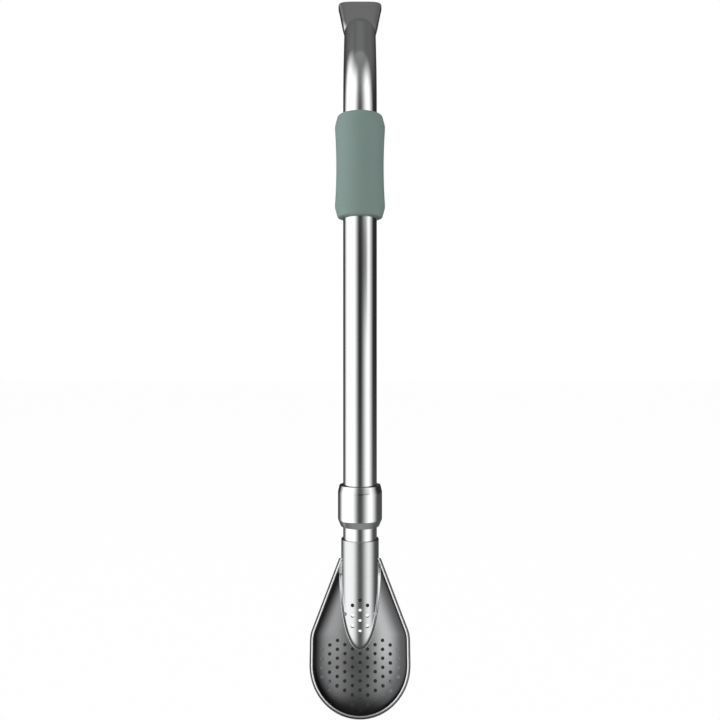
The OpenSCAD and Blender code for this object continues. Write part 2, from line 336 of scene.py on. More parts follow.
def steel(name, dull, bright, rough, spread, stretch, scale):
    made, wire = material(name)
    lines = grain(wire, stretch, scale)
    cloud = grain(wire, even, cloud_grain)
    colour = wire.node("ShaderNodeMix", {"data_type": "RGBA"}, {"Factor": cloud, 6: dull, 7: bright}, out=2)
    shader = wire.node("ShaderNodeBsdfPrincipled", {}, {
        "Base Color": colour, "Metallic": 1.0, "Roughness": rough + spread * (lines - 0.5)})
    finish_with(wire, shader)
    return made


def sheet_finish(wire, colour, rough):
    """Ends a sheet's material: metal of a given colour, with a fine even grain in its roughness."""
    fine = grain(wire, even, sheet_grain)
    shader = wire.node("ShaderNodeBsdfPrincipled", {}, {
        "Base Color": colour, "Metallic": 1.0, "Roughness": rough + sheet_spread * (fine - 0.5)})
    finish_with(wire, shader)


def dish_steel(name, wall, middle, rim_highlight, rough):
    """Satin steel that knows how far each place of the dish is from its wall, and paints shade there:
    darker towards the wall and the end, with a painted highlight on the rim.
    """
    made, wire = material(name)
    spot = wire.node("ShaderNodeTexCoord", {}, {}, out="Object")
    split = wire.node("ShaderNodeSeparateXYZ", {}, {"Vector": spot})
    x, y, z = (Wire(wire.tree, split.socket.node.outputs[k]) for k in range(3))
    across, back, rise = x.math("ABSOLUTE", x) * (1 / MM), y * (1 / MM) + ferrule_r, z * (1 / MM) - tip_z
    v = back * sin(lean) + rise * cos(lean)
    w = rise * sin(lean) - back * cos(lean)
    fall = v.math("MINIMUM", v + bowl_drop, 0.0)
    reach = v.math("SQRT", across * across + fall * fall)
    slope = shoulder_half + shoulder_tan * (bowl_top - v)
    from_wall = v.math("MINIMUM", slope, bowl_r) - rim_inset - reach
    # Painted shade: the dish takes the dark wall colour near its wall, and is darker towards its end.
    wall_fade, end_fade, end_shade = (0.8, 7.5), (-9, 2), 0.4
    lit_share = from_wall.step(*wall_fade) * (end_shade + (1 - end_shade) * v.step(*end_fade))
    colour = wire.node("ShaderNodeMix", {"data_type": "RGBA"},
                       {"Factor": lit_share, 6: wall, 7: middle}, out=2)
    # Painted highlight: the rim gets a bright colour near the top of the wall.
    top = w.step(dish_depth - 0.3, dish_depth - 0.1)
    colour = wire.node("ShaderNodeMix", {"data_type": "RGBA"}, {"Factor": top, 6: colour, 7: rim_highlight}, out=2)
    sheet_finish(wire, colour, rough)
    return made


def shell_steel(name, inside_shade, outside, rough):
    """Satin steel with painted shade: its inside, which faces out of the spoon, is coloured dark."""
    made, wire = material(name)
    facing = wire.node("ShaderNodeNewGeometry", {}, {}, out="Normal")
    facing = wire.node("ShaderNodeVectorMath", {"operation": "DOT_PRODUCT"},
                       {0: facing, 1: (0, -cos(lean), sin(lean))}, out="Value")
    # Painted shade: the inside of the shell, seen through the holes, gets the dark colour.
    colour = wire.node("ShaderNodeMix", {"data_type": "RGBA"},
                       {"Factor": facing.step(0.0, 0.4), 6: outside, 7: inside_shade}, out=2)
    sheet_finish(wire, colour, rough)
    return made


def silicone(name, dull, bright, rough):
    made, wire = material(name)
    fine = grain(wire, even, 2500.0)
    cloud = grain(wire, (1, 1, 0.5), 120.0)
    colour = wire.node("ShaderNodeMix", {"data_type": "RGBA"}, {"Factor": cloud, 6: dull, 7: bright}, out=2)
    bump = wire.node("ShaderNodeBump", {}, {"Strength": 0.05, "Distance": 0.0001, "Height": fine})
    shader = wire.node("ShaderNodeBsdfPrincipled", {}, {
        "Base Color": colour, "Roughness": rough + 0.1 * (cloud - 0.5), "Normal": bump})
    finish_with(wire, shader)
    return made


bright_steel = steel(
    "bright_steel", (0.70, 0.705, 0.71, 1), (0.74, 0.745, 0.75, 1), 0.13, 0.06, drawn, drawn_grain)
# The shell's dark inside colour is painted shade.
satin_steel = shell_steel("satin_steel", (0.13, 0.132, 0.135, 1), (0.61, 0.615, 0.62, 1), 0.3)
soft_steel = steel(
    "soft_steel", (0.55, 0.555, 0.56, 1), (0.59, 0.595, 0.60, 1), 0.25, 0.06, drawn, drawn_grain)
# The dish's colours: painted shade at the wall, its middle, and a painted highlight on the rim.
pressed_steel = dish_steel(
    "pressed_steel", (0.07, 0.071, 0.073, 1), (0.6, 0.605, 0.61, 1), (0.9, 0.9, 0.9, 1), 0.3)
sage_silicone = silicone("sage_silicone", (0.172, 0.238, 0.218, 1), (0.19, 0.258, 0.238, 1), 0.55)
grey_silicone = silicone("grey_silicone", (0.11, 0.115, 0.12, 1), (0.13, 0.135, 0.14, 1), 0.6)
print("materials made: 6")

# %% [markdown]
# ## The straw tube
#
# The straw is drawn steel tube, nine millimetres across, and it is bent once on a round former. Its rings
# are carried straight up and then round the bend, outside first and back down the bore. A bevelled curve
# would bend as well, but rings keep the wall, the bore and both ends in one closed skin.

# %% The straw tube
RING = 144
ring_angles = np.linspace(0, 2 * pi, RING, endpoint=False)


def tube_ring(s, r):
    """Ring of radius r at length s along the straw, measured from the start of the bend."""
    a = min(max(s / bend_r, 0.0), bend_angle)
    middle = np.array((0.0, bend_r * (1 - cos(a)), bend_z + bend_r * sin(a) + min(s, 0.0)))
    ahead = np.array((0.0, cos(a), -sin(a)))
    side = np.array((1.0, 0.0, 0.0))
    return middle + r * (np.cos(ring_angles)[:, None] * side + np.sin(ring_angles)[:, None] * ahead)


foot = tube_low[2] - bend_z
cut_ease, seam_ease = 0.1, 0.02
bend_len = bend_r * bend_angle
stops = [foot + 0.12, foot + 1.0, -30.0, -1.0] + list(np.linspace(0, bend_len, 60))
rows = [tube_ring(foot, bore_r + cut_ease), tube_ring(foot, tube_r - cut_ease)]
rows += [tube_ring(s, tube_r) for s in stops]
rows += [tube_ring(bend_len, tube_r - seam_ease), tube_ring(bend_len, bore_r + seam_ease)]
rows += [tube_ring(s, bore_r) for s in reversed(stops)]
put("straw", loft("straw", rows), "straw_tube", bright_steel)

# %% [markdown]
# ## The mouthpiece
#
# The end of the straw is pressed flat and flares into a slot for the lips. Across it, the section is the
# higher of two shapes: the round tube, which sinks as the press closes, and the flat plate, which widens.
# Where they meet, the round part fades out in an arch, just as a tube does when its end is squeezed. It
# could be sculpted, but a formula keeps both sides alike and the wall even.

# %% The mouthpiece
shank = 13.8
lip_half = mouth_high[0]
lip_thick = 1.9
arch_len = 5.9
lip_round = 0.6
lip_fade = 3.0
arch_ease = 0.5
arch_top = 24.0
sink_end = 1.3
square_gain, square_len = 2.2, 6
bend_end = bend_z + bend_r * sin(bend_angle)
mouth_len = (mouth_high[2] - bend_end - lip_thick * sin(bend_angle)) / cos(bend_angle)


def soft_step(t):
    t = np.clip(t, 0.0, 1.0)
    return t * t * (3 - 2 * t)


def mouth_ring(s, inset):
    """Section of the mouthpiece at length s above the bend, set in from the outside by inset."""
    t = max(0.0, (s - shank) / (mouth_len - shank))
    half = tube_r + (lip_half - tube_r) * t - inset
    thick = lip_thick - inset
    power = 2 + square_gain * soft_step((s - shank) / square_len)
    sink = -(tube_r - lip_thick) * np.clip((s - shank) / arch_len, 0, sink_end)
    x = half * np.cos(ring_angles)
    plate = thick * np.maximum(1 - np.abs(x / half) ** power, 0) ** (1 / power)
    round_part = sink + np.sqrt(np.maximum((tube_r - inset) ** 2 - x ** 2, 0))
    blend = np.maximum(arch_ease - np.abs(plate - round_part), 0) * (s > shank)
    height = np.maximum(plate, round_part) + blend ** 2 / 2
    height = np.where(np.abs(np.sin(ring_angles)) < 1e-9, 0, height)
    if s <= shank:
        height = (tube_r - inset) * np.abs(np.sin(ring_angles))
    past = np.maximum(np.abs(x) - (half - lip_round), 0)
    corner = lip_round - np.sqrt(np.maximum(lip_round ** 2 - past ** 2, 0))
    drop = corner * soft_step((s - mouth_len + lip_fade) / lip_fade)
    y = np.sign(np.sin(ring_angles)) * height
    start = np.array((0.0, bend_r * (1 - cos(bend_angle)), bend_end))
    up = np.array((0.0, sin(bend_angle), cos(bend_angle)))
    out = np.array((0.0, cos(bend_angle), -sin(bend_angle)))
    return start + (s - drop)[:, None] * up + x[:, None] * np.array((1.0, 0, 0)) + y[:, None] * out


wall = 0.6
lip = wall / 2
outside = [0.0, 6.0, 12.0] + list(np.linspace(shank, arch_top, 60))
outside += list(np.linspace(arch_top + 0.4, mouth_len - lip, 30))
rows = [mouth_ring(0.0, tube_wall - seam_ease), mouth_ring(0.0, seam_ease)]
rows += [mouth_ring(s, 0.0) for s in outside]
for a in np.linspace(0.3, pi - 0.3, 9):
    rows.append(mouth_ring(mouth_len - lip + lip * sin(a), lip * (1 - cos(a))))
rows += [mouth_ring(s, tube_wall + (wall - tube_wall) * min(1, s / shank)) for s in reversed(outside)]
put("mouthpiece_skin", loft("mouthpiece_skin", rows), "mouthpiece", bright_steel)

# %% [markdown]
# ## The grip
#
# The grip is a silicone sleeve, moulded a little tight and stretched over the tube. It is waisted for the
# fingers, its ends taper, and its edges are soft. One section, turned on the lathe, gives all of it. The
# Screw modifier would turn it too, but the loft sets the normals from its own grid.

# %% The grip
grip_mid = (grip_low[2] + grip_high[2]) / 2
grip_half = (grip_high[2] - grip_low[2]) / 2
swell = grip_high[0]
waist = 0.395
taper = 2.9
end_r = tube_r + 1.45
straight = grip_half - taper
shoulder_ease, end_ease, bore_ease = 0.8, 0.5, 0.15
body = [(swell - waist * (1 - t * t), grip_mid + straight * t) for t in np.linspace(-0.9, 0.9, 25)]
shoulder = [(swell, grip_mid + hand * straight, shoulder_ease) for hand in (-1, 1)]
outline = [(on_tube, grip_low[2], bore_ease), (end_r, grip_low[2], end_ease), shoulder[0]]
outline += [(r, z, 0) for r, z in body]
outline += [shoulder[1], (end_r, grip_high[2], end_ease), (on_tube, grip_high[2], bore_ease)]
put("grip", lathe("grip", eased(outline, 7)), "grip_sleeve", sage_silicone)

# %% [markdown]
# ## The screw union
#
# The strainer hangs on a union: a threaded bush is fixed to the tube, and the collar screws over it and
# presses the neck's flange and a flat seal against the tube's end. Bush, collar, seal, neck and ferrule
# are all turned. The two threads are wound by one small node tree: a tapered bar follows a spiral, and
# thins out at both ends as a rolled thread does.

# %% The thread winder


def tree_of(name, inputs):
    """Starts a Geometry Nodes tree with named inputs, and returns it with its input and output nodes."""
    tree = bpy.data.node_groups.new(name, "GeometryNodeTree")
    tree.interface.new_socket("Geometry", in_out="INPUT", socket_type="NodeSocketGeometry")
    for label, kind in inputs:
        tree.interface.new_socket(label, in_out="INPUT", socket_type=kind)
    tree.interface.new_socket("Geometry", in_out="OUTPUT", socket_type="NodeSocketGeometry")
    return tree, Wire(tree), tree.nodes.new("NodeGroupInput"), tree.nodes.new("NodeGroupOutput")


def grown(name, source, tree, values):
    """Runs a tree on a mesh and returns the mesh it makes."""
    carrier = bpy.data.objects.new(name + "_carrier", source)
    bpy.context.scene.collection.objects.link(carrier)
    modifier = carrier.modifiers.new("nodes", "NODES")
    modifier.node_group = tree
    for item in tree.interface.items_tree:
        if item.in_out == "INPUT" and item.name in values:
            modifier[item.identifier] = values[item.name]
    carrier.update_tag()
    graph = bpy.context.evaluated_depsgraph_get()
    made = bpy.data.meshes.new_from_object(carrier.evaluated_get(graph), depsgraph=graph)
    made.name = name
    carrier.modifiers.clear()
    bpy.data.objects.remove(carrier)
    return made


winder, w, given, result = tree_of("screw_thread", [
    ("Turns", "NodeSocketFloat"), ("Pitch", "NodeSocketFloat"), ("Radius", "NodeSocketFloat"),
    ("Height", "NodeSocketFloat"), ("Start", "NodeSocketFloat"), ("Material", "NodeSocketMaterial")])
ask = {socket.name: Wire(winder, socket) for socket in given.outputs if socket.name}
spiral = w.node("GeometryNodeCurveSpiral", {}, {
    "Resolution": 48, "Rotations": ask["Turns"], "Start Radius": ask["Radius"], "End Radius": ask["Radius"],
    "Height": ask["Turns"] * ask["Pitch"]})
along = w.node("GeometryNodeSplineParameter", {}, {}, out="Factor")
fade = w.node("ShaderNodeMapRange", {}, {"Value": along, "From Max": 0.06})
fade = fade * w.node("ShaderNodeMapRange", {}, {"Value": 1 - along, "From Max": 0.06})
spiral = w.node("GeometryNodeSetCurveNormal", {"mode": "Z_UP"}, {"Curve": spiral})
bar = w.node("GeometryNodeCurvePrimitiveCircle", {"mode": "RADIUS"},
             {"Resolution": 6, "Radius": ask["Height"]})
thin = w.node("GeometryNodeSetCurveRadius", {}, {"Curve": spiral, "Radius": 0.15 + 0.85 * fade})
ridge = w.node("GeometryNodeCurveToMesh", {}, {"Curve": thin, "Profile Curve": bar, "Fill Caps": True})
lift = w.node("ShaderNodeCombineXYZ", {}, {"Z": ask["Start"]})
ridge = w.node("GeometryNodeTransform", {}, {"Geometry": ridge, "Translation": lift})
both = winder.nodes.new("GeometryNodeJoinGeometry")
winder.links.new(given.outputs["Geometry"], both.inputs[0])
winder.links.new(ridge.socket, both.inputs[0])
whole = w.node("GeometryNodeRealizeInstances", {}, {"Geometry": Wire(winder, both.outputs[0])})
whole = w.node("GeometryNodeSetMaterial", {}, {"Geometry": whole, "Material": ask["Material"]})
winder.links.new(whole.socket, result.inputs["Geometry"])
print("thread winder:", len(winder.nodes), "nodes")

# %% The turned pieces
thread_root = 5.225
bush_root = 4.875
thread_rise = 0.31
thread_seat = 0.02
bush_thread_len = 5.5
shoulder_z = bush_low[2] + bush_thread_len
bush = lathe("bush_body", eased([
    (on_tube, bush_low[2], 0.1), (bush_root, bush_low[2], 0.15), (bush_root, shoulder_z, 0.03),
    (bush_high[0], shoulder_z, 0.12), (bush_high[0], bush_high[2], 0.12), (on_tube, bush_high[2], 0.1)]))
turns = {"Pitch": MM, "Material": bright_steel}
threaded = grown("bush", bush, winder, dict(
    turns, Turns=4.0, Radius=(bush_root - thread_seat) * MM, Height=thread_rise * MM,
    Start=(bush_low[2] + 0.5) * MM))
put("bush", keep_normals(threaded, bush), "thread_bush", bright_steel)

collar_r = collar_high[0]
collar_foot_over, collar_top_over = 0.6, 0.975
foot_chamfer, top_chamfer = 1.9, 1.8
neck_hole = tube_r + running_gap
collar_lip = 1.6
lip_z = collar_low[2] + collar_lip
collar = lathe("collar_body", eased([
    (neck_hole, collar_low[2], 0.12), (tube_r + collar_foot_over, collar_low[2], 0.2),
    (collar_r, collar_low[2] + foot_chamfer, 0.25), (collar_r, collar_high[2] - top_chamfer, 0.25),
    (tube_r + collar_top_over, collar_high[2], 0.11), (thread_root, collar_high[2], 0.1),
    (thread_root, lip_z, 0.03), (neck_hole, lip_z, 0.05)]))
threaded = grown("collar", collar, winder, dict(
    turns, Turns=3.0, Radius=(thread_root + thread_seat) * MM, Height=thread_rise * MM,
    Start=(bush_low[2] + 1.0) * MM))
put("collar", keep_normals(threaded, collar), "screw_collar", bright_steel)

put("seal", lathe("seal", eased([
    (bore_r, seal_low[2], 0.1), (seal_high[0], seal_low[2], 0.1),
    (seal_high[0], seal_high[2], 0.1), (bore_r, seal_high[2], 0.1)])), "seal_ring", grey_silicone)
flange_t = 1.2
flange_z = neck_high[2] - flange_t
put("neck", lathe("neck", eased([
    (bore_r, neck_low[2], 0.1), (tube_r, neck_low[2], 0.1), (tube_r, flange_z, 0.1),
    (neck_high[0], flange_z, 0.15), (neck_high[0], neck_high[2], 0.15), (bore_r, neck_high[2], 0.1)])),
    "filter_neck", bright_steel)
put("ferrule_tube", lathe("ferrule_tube", eased([
    (on_tube, ferrule_low[2], 0.02), (ferrule_r, ferrule_low[2], 0.005),
    (ferrule_r, ferrule_high[2], 0.28), (on_tube, ferrule_high[2], 0.1)])),
    "ferrule", soft_steel)

# %% [markdown]
# ## The spoon's sheets
#
# The spoon is two pressed sheets, brazed together at the rim: a perforated dish in front and a shell
# behind, with a space between them for the drink. Both are pressed with the same outline. A row of points
# runs from the middle up the wall, goes over the rim and comes back behind: the dish rises as a quarter of
# an ellipse, and the shell is flat with a round corner. The rows go down the sides and then fan round the
# end. Solidify could give the thickness, but here the rim closes in a clean round.

# %% The spoon's sheets
rim_edge = 0.19
shell_corner = 4.12
chamber_foot = 1.2
socket_past = 1
corner_ease = 0.5
dish_deep = dish_depth - rim_edge


def on_spoon(u, v, w):
    """Turns places on the spoon (across, up its face, out of its face) into the shared frame."""
    u, v, w = np.broadcast_arrays(np.asarray(u, float), v, w)
    y = -ferrule_r + v * sin(lean) - w * cos(lean)
    z = tip_z + v * cos(lean) + w * sin(lean)
    return np.stack((u, y, z), -1)


def half_width(v, inset):
    """Half the spoon's width at v, set in from its outside, with the shoulder's corner eased."""
    side = bowl_r - inset
    slope = shoulder_half - inset * sqrt(1 + shoulder_tan ** 2) + (bowl_top - v) * shoulder_tan
    ease = np.maximum(corner_ease - np.abs(side - slope), 0)
    return np.minimum(side, slope) - ease ** 2 / 2


def dish_at(u, v):
    """Height of the dish's face at a place on the spoon: half an ellipse from wall to wall."""
    u, v = np.broadcast_arrays(np.abs(np.asarray(u, float)), np.asarray(v, float))
    low = v < -bowl_drop
    x = np.where(low, np.hypot(u, v + bowl_drop), u)
    half = np.where(low, bowl_r - rim_inset, half_width(v, rim_inset))
    return dish_deep * (1 - np.sqrt(np.maximum(1 - (x / half) ** 2, 0)))


def shell_floor(v):
    """Height of the back shell's floor: along the ferrule's back above, and straight to the end below."""
    across = 2 * ferrule_r + braze_gap

    def behind(v):
        return v * tan(lean) - across / cos(lean)

    socket = tongue_len * cos(lean) + across * sin(lean) - socket_past
    toe_v, toe_w = -bowl_drop - (bowl_r - sheet - shell_corner), -sheet - chamber_foot
    slope = (behind(socket) - toe_w) / (socket - toe_v)
    return np.where(v > socket, behind(v), toe_w + slope * (v - toe_v))


def dish_press(long, square):
    """Dish's section from the middle to the wall: its face, and its back one sheet behind."""
    swing = np.linspace(0, pi / 2, 29)
    across, up = dish_deep * np.sin(swing), -long * np.cos(swing)
    size = np.hypot(across, up) / sheet
    face = np.stack((long * np.sin(swing), dish_deep * (1 - np.cos(swing))), 1)
    return face, face + np.stack((across / size / square, up / size), 1)


def shell_press(long, square):
    """Shell's section: flat in the middle, with a round corner up to the wall."""
    core = long - shell_corner / square
    swing = np.linspace(0, pi / 2, 15)
    flat = np.stack((core * np.linspace(0, 1, 15)[:-1], np.zeros(14)), 1)
    face = np.stack((core + shell_corner * np.sin(swing) / square, shell_corner * (1 - np.cos(swing))), 1)
    far = shell_corner + sheet
    back = np.stack((core + far * np.sin(swing) / square, shell_corner - far * np.cos(swing)), 1)
    return np.vstack((flat, face)), np.vstack((flat - (0, sheet), back))


def pan(name, inset, press, floor):
    """Pressed sheet whose wall stands inset from the spoon's outside."""
    levels = np.concatenate((
        np.linspace(bowl_top, corner_v + 1, 40), np.linspace(corner_v + 0.8, -bowl_drop, 24)))
    turns = np.linspace(0, -pi, 121)[1:-1]
    rays = [((0, v), (1, 0)) for v in levels] + [((0, -bowl_drop), (cos(a), sin(a))) for a in turns]
    rays += [((0, v), (-1, 0)) for v in reversed(levels)]
    points, index, shared = [], [], {}
    for (ou, ov), (du, dv) in rays:
        flat_ray = dv == 0
        long = half_width(ov, inset) if flat_ray else bowl_r - inset
        square = 1 / sqrt(1 + shoulder_tan ** 2) if flat_ray and ov > corner_v else 1.0
        face, back = press(long, square)
        middle, r = long + sheet / square / 2, rim_edge / square
        edge = [(middle - r * cos(a), dish_depth - rim_edge * (1 - sin(a)), 0)
                for a in np.linspace(0.3, pi - 0.3, 7)]
        section = [(x, h, 1) for x, h in face] + edge + [(x, h, 1) for x, h in back[::-1]]
        row = []
        for m, (x, h, moves) in enumerate(section):
            u, v = ou + du * x, ov + dv * x
            w_here = min(h + moves * float(floor(v)), dish_depth)
            key = (round(ou, 6), round(ov, 6), m) if x == 0 else None
            if key in shared:
                row.append(shared[key])
                continue
            if key:
                shared[key] = len(points)
            row.append(len(points))
            points.append((u, v, w_here))
        index.append(row)
    size = len(index[0])
    faces = []
    for a, b in zip(index, index[1:]):
        for m in range(size - 1):
            ring = [a[m], b[m], b[m + 1], a[m + 1]]
            ring = [p for k, p in enumerate(ring) if p not in ring[:k]]
            if len(ring) > 2:
                faces.append(tuple(ring))
    for row, turn in ((index[0], 1), (index[-1], -1)):
        for m in range((size - 1) // 2):
            cap = (row[m], row[m + 1], row[size - 2 - m], row[size - 1 - m])[::turn]
            faces.append(tuple(dict.fromkeys(cap)))
    points = on_spoon(*np.array(points).T)
    return skin(name, points, outwards(points, faces))


dish_sheet = pan("dish_sheet", rim_inset, dish_press, lambda v: 0.0)
shell_sheet = pan("shell_sheet", sheet, shell_press, shell_floor)
print("sheets:", len(dish_sheet.polygons), "and", len(shell_sheet.polygons), "faces")

# %% [markdown]
# ## The tongue
#
# The front wall of the ferrule runs down onto the dish as a tongue. Its face is the ferrule's own
# cylinder, cut where it meets the dish, and a narrow foot spreads along that edge for the brazing. The
# edge is found by halving, one level at a time, because the dish it lands on is curved, and a Boolean
# would leave it ragged. Two strips carry the foot on beside the ferrule.

# %% The tongue
foot_t = 0.22
foot_spread = 0.75
foot_nose = 0.2
foot_fillet = 0.25
above_dish = 0.03
end_gap = 0.006
end_margin = 0.3
foot_flat = 0.3
search_top, search_steps = 22, 2000


def cylinder_at(u, v, r):
    """Height of the front of an upright cylinder over a place on the spoon."""
    return (v * sin(lean) - ferrule_r + np.sqrt(np.maximum(r * r - u * u, 0))) / cos(lean)


def edge_at(v, r, above):
    """How far from the middle a cylinder's front stays above the dish at v."""
    low, high = np.zeros_like(v), np.full_like(v, r)
    for _ in range(40):
        mid = (low + high) / 2
        clear = cylinder_at(mid, v, r) > dish_at(mid, v) + above
        low, high = np.where(clear, mid, low), np.where(clear, high, mid)
    return low


def top_of(u, r):
    """Where a cylinder's front reaches the lower end of the ferrule."""
    return cos(lean) * (ferrule_low[2] - end_gap - tip_z) + (ferrule_r - np.sqrt(r * r - u * u)) * sin(lean)


def outline_of(r, above, s):
    """Edge of a cylinder standing above the dish, from its left end round the tip to its right end."""
    tip = (above * cos(lean) + ferrule_r - r) / sin(lean)
    v = np.linspace(tip, search_top, search_steps)
    end = v[np.argmax(v > top_of(edge_at(v, r, above), r) - end_margin)]
    v = tip + (end - tip) * s * s
    return np.sign(s) * edge_at(v, r, above), v


def patch(r, u, v, s, ts):
    """Lines on a cylinder from the ferrule's end down to an edge."""
    swing = np.arcsin(u / r)
    made = []
    for t in ts:
        a = swing[-1] * s * (1 - t) + swing * t
        level = top_of(r * np.sin(swing[-1] * s), r) * (1 - t) + v * t
        made.append(np.stack((r * np.sin(a), level, cylinder_at(r * np.sin(a), level, r)), -1))
    return made


def foot_round(u, v, start, landing):
    """Foot along an edge: a fillet from start, a flat, a round nose, and the way back to landing."""
    du, dv = np.gradient(u), np.gradient(v)
    size = np.hypot(du, dv)

    def on_foot(x, y):
        fu, fv = u + dv / size * x, v - du / size * x
        return np.stack((fu, fv, dish_at(fu, fv) + y), -1)

    bend, land = on_foot(0.0, foot_t), on_foot(foot_flat, foot_t)
    made = [(1 - t) ** 2 * start + 2 * t * (1 - t) * bend + t * t * land for t in np.linspace(0.15, 1, 7)]
    for a in (0.2, 0.7, 1.2, pi / 2):
        reach = foot_spread - foot_nose * (1 - sin(a))
        made.append(on_foot(reach, above_dish + (foot_t - above_dish) * cos(a)))
    return made + [made[-1] + (landing - made[-1]) * t for t in (0.1, 0.5, 0.9)]


def shell_through(loops):
    """Points and faces of a closed skin through loops that lie side by side, capped at both ends."""
    loops = np.array(loops)
    count, wide = loops.shape[:2]
    made = []
    for i in range(count):
        a, b = i * wide, (i + 1) % count * wide
        made += [(a + j, a + j + 1, b + j + 1, b + j) for j in range(wide - 1)]
    for j, turn in ((0, 1), (wide - 1, -1)):
        made += [tuple(n * wide + j for n in (i, i + 1, count - 2 - i, count - 1 - i))[::turn]
                 for i in range(count // 2 - 1)]
    points = on_spoon(*loops.reshape(-1, 3).T)
    return points, outwards(points, made)


s = np.linspace(-1, 1, 161)
u_wall, v_wall = outline_of(ferrule_r, foot_t + foot_fillet, s)
u_edge, v_edge = outline_of(ferrule_r, foot_t, s)
u_in, v_in = outline_of(tongue_in, above_dish, s)
wall_lines = patch(ferrule_r, u_wall, v_wall, s, np.linspace(0, 1, 16))
back_lines = patch(tongue_in, u_in, v_in, s, np.linspace(1, 0, 14))
points, faces = shell_through(
    wall_lines + foot_round(u_edge, v_edge, wall_lines[-1], back_lines[0]) + back_lines)
hold = ferrule_r + braze_gap
strip_foot, strip_top = v_edge[-1] + 0.02, bowl_top - 0.9
for hand in (-1, 1):
    v = np.linspace(strip_foot, strip_top, 40)
    begin, end = edge_at(v, hold, foot_t), edge_at(v, hold, above_dish)
    begin, end = (np.stack((u, v, cylinder_at(u, v, hold)), -1) for u in (begin, end))
    strip, strip_faces = shell_through(
        [begin] + foot_round(edge_at(v, hold, foot_t), v, begin, end) + [end])
    strip[:, 0] *= hand
    faces += [tuple(len(points) + n for n in f) for f in outwards(strip, strip_faces)]
    points = np.vstack((points, strip))
tongue_sheet = skin("tongue_sheet", points, faces)
print("tongue:", len(tongue_sheet.polygons), "faces")

# %% [markdown]
# ## Perforation
#
# The holes are punched through the sheets in staggered columns. The shell has only a few, in line with the
# lower holes of the tongue, so that light shows through. One node tree drills them all: it stands a cutter
# on every mark, leans the cutters with the spoon, and takes them out of the sheet. A second input clears
# the way for the ferrule and for the channel behind the tongue. The sheets are then kept out of
# reflections, so that the tongue and the ferrule mirror the studio as they do in a product picture, and
# not the dish around them.

# %% Perforation
punch, p, given, result = tree_of("perforate", [
    ("Marks", "NodeSocketObject"), ("Diameter", "NodeSocketFloat"), ("Depth", "NodeSocketFloat"),
    ("Lean", "NodeSocketFloat"), ("Clearing", "NodeSocketObject"), ("Material", "NodeSocketMaterial")])
ask = {socket.name: Wire(punch, socket) for socket in given.outputs if socket.name}
marks = p.node("GeometryNodeObjectInfo", {"transform_space": "RELATIVE"},
               {"Object": ask["Marks"]}, out="Geometry")
clearing = p.node("GeometryNodeObjectInfo", {"transform_space": "RELATIVE"},
                  {"Object": ask["Clearing"]}, out="Geometry")
cutter = p.node("GeometryNodeMeshCylinder", {}, {
    "Vertices": 28, "Radius": ask["Diameter"] * 0.5, "Depth": ask["Depth"]}, out="Mesh")
turn = p.node("ShaderNodeCombineXYZ", {}, {"X": ask["Lean"]})
stand = p.node("GeometryNodeInstanceOnPoints", {}, {"Points": marks, "Instance": cutter, "Rotation": turn})
stand = p.node("GeometryNodeRealizeInstances", {}, {"Geometry": stand})
drilled = p.node("GeometryNodeMeshBoolean", {"operation": "DIFFERENCE", "solver": "MANIFOLD"},
                 {"Mesh 1": ask["Geometry"]})
for cut in (stand, clearing):
    punch.links.new(cut.socket, drilled.socket.node.inputs["Mesh 2"])
whole = p.node("GeometryNodeRealizeInstances", {}, {"Geometry": drilled})
whole = p.node("GeometryNodeSetMaterial", {}, {"Geometry": whole, "Material": ask["Material"]})
punch.links.new(whole.socket, result.inputs["Geometry"])


def helper(name, mesh):
    made = bpy.data.objects.new(name, mesh)
    bpy.context.scene.collection.objects.link(made)
    return made


def marks_at(name, spots, low, high):
    """Marks for cutters that reach from one height over the spoon to another."""
    spots = np.array(spots)
    mesh = bpy.data.meshes.new(name)
    mesh.from_pydata((on_spoon(spots[:, 0], spots[:, 1], (low + high) / 2) * MM).tolist(), [], [])
    return helper(name, mesh)


def perforated(name, sheet_mesh, spots, wide, low, high, clear):
    marked = marks_at(name + "_marks", spots, low, high)
    made = grown(name, sheet_mesh, punch, {
        "Marks": marked, "Diameter": wide * MM, "Depth": (high - low) * MM, "Lean": pi / 2 - lean,
        "Clearing": clear, "Material": satin_steel})
    bpy.data.objects.remove(marked)
    return keep_normals(made, sheet_mesh)


column, pitch, tongue_pitch = 1.96, 2.18, 2.6
dish_hole, tongue_hole = 0.9, 0.95
dish_start, tongue_start = 0.8, 4.7
hole_margin = 1.7
edge_row = 1.65
dish_spots = []
for i in range(-6, 7):
    peak = (3 - abs(abs(i) - 3)) * pitch / 2
    for k in range(12):
        u, v = i * column, peak - dish_start - k * pitch
        if np.hypot(u, min(0, v + bowl_drop)) < bowl_r - hole_margin:
            dish_spots.append((u, v))


def tongue_columns(rows):
    """Three columns of marks up the tongue, the outer two staggered and one row shorter."""
    return [(i * column, tongue_start + (k + abs(i) / 2) * tongue_pitch)
            for i in (-1, 0, 1) for k in range(rows - abs(i))]


tongue_spots = tongue_columns(4)
tongue_spots += [(i * 2 * column, tongue_start + edge_row * tongue_pitch) for i in (-1, 1)]
through_spots = tongue_columns(3)

